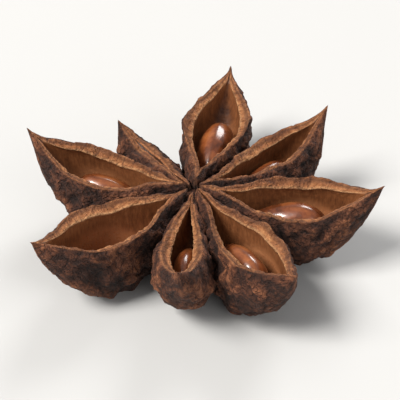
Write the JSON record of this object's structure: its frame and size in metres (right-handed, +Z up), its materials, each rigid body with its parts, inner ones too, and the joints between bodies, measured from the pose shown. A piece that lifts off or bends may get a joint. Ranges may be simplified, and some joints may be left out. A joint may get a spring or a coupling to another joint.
{
  "type": "star anise pod",
  "caption": "Dried star-shaped spice pod: woody boat-shaped follicles round a short column, split open along the top, with glossy seeds inside and a bent stalk below.",
  "frame": {"origin": "on the ground, below the middle of the pod's outline", "axes": "+Z up, along the column that carries the follicles; +X along the first follicle, from the column to its beak"},
  "size_m": [0.0312, 0.0296, 0.0093],
  "materials": {
    "husk": "dry, wrinkled dark reddish-brown husk, paler tan and rust along the split lips, matt",
    "seed": "smooth, glossy chestnut-brown seed coat"
  },
  "bodies": {
    "root": {"pod": "husk", "seed_1": "seed", "seed_2": "seed", "seed_3": "seed", "seed_5": "seed", "seed_7": "seed", "seed_8": "seed"}
  },
  "joints": []
}
